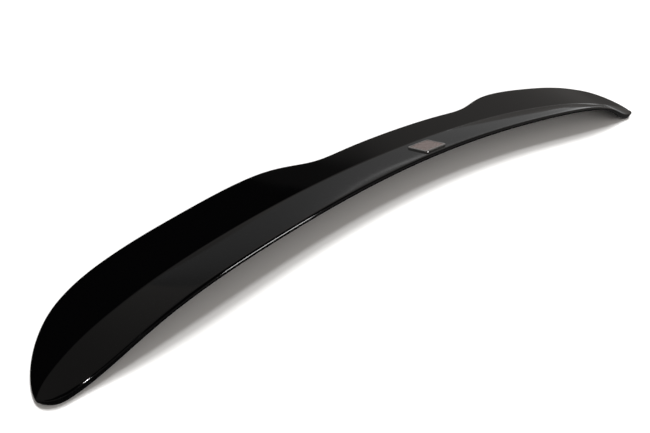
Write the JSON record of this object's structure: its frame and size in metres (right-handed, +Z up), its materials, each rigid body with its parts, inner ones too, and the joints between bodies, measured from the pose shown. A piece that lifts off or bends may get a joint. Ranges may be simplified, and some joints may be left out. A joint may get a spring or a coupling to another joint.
{
  "type": "spoiler extension",
  "caption": "Long thin gloss black car spoiler extension: a crowned front flange with lobed edge and wing-shaped ends, a raised rear lip with rounded rim, and a small plain badge on the lip.",
  "frame": {"origin": "on the floor under the middle of the part's bounding box, the part lying on its front edge's ends and its tips", "axes": "+X across the car along the span, +Y towards the front of the car, so the raised lip is at -Y, +Z up"},
  "size_m": [1.184, 0.1519, 0.0565],
  "materials": {
    "gloss_black_abs": "polished black ABS sheet",
    "badge_metal": "satin, with a warm grey field"
  },
  "bodies": {
    "root": {"spoiler_shell": "gloss_black_abs", "badge": "badge_metal"}
  },
  "joints": []
}
